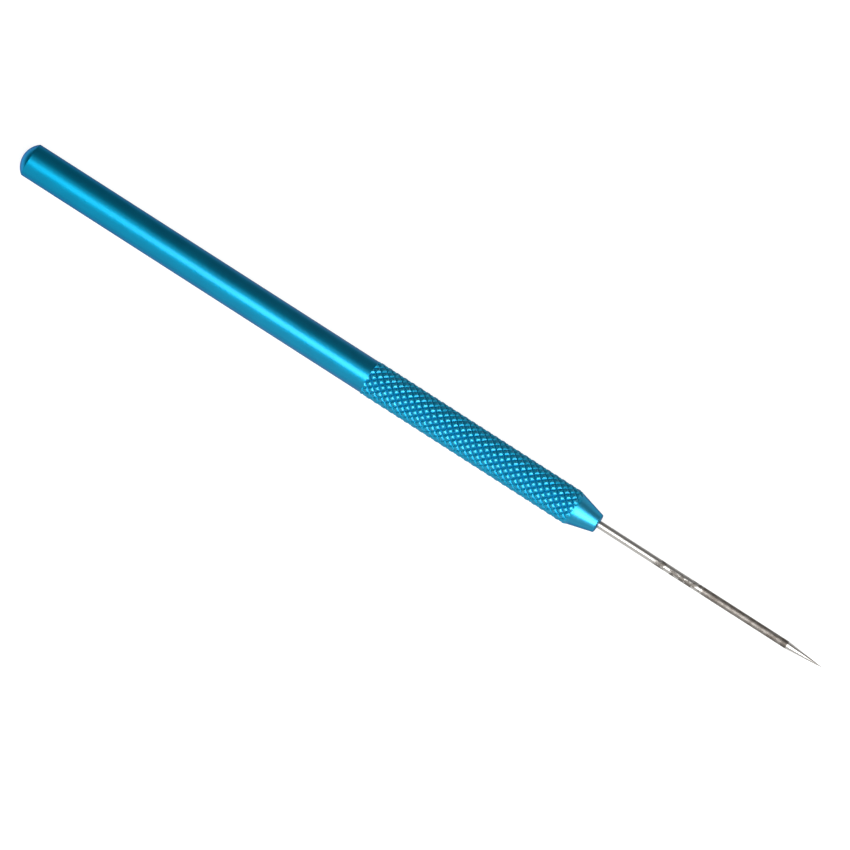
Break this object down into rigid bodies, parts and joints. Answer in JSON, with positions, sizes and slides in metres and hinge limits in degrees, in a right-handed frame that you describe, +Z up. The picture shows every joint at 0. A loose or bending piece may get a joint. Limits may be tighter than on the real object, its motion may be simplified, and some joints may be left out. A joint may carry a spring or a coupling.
{
  "type": "scratch awl",
  "caption": "Slim straight scratch awl: turned anodised aluminium handle with a domed butt, diamond-knurled grip and tapered nose, and a thin ground steel needle.",
  "frame": {"origin": "centre of the tool's bounding box in X and Y, on the surface that it lies on", "axes": "+X along the tool, from the handle's domed butt towards the needle's point; +Z up, with the tool lying on its side"},
  "size_m": [0.14, 0.0056, 0.0055],
  "materials": {
    "anodised_handle": "satin cyan-blue anodising over fine turning marks; coarse diamond knurl on the grip",
    "ground_steel": "bright ground wire, with a dull brownish-grey stretch towards the point",
    "cured_adhesive": "clear amber cured retaining adhesive"
  },
  "bodies": {
    "root": {"handle": "anodised_handle", "needle": "ground_steel", "needle_adhesive": "cured_adhesive"}
  },
  "joints": []
}
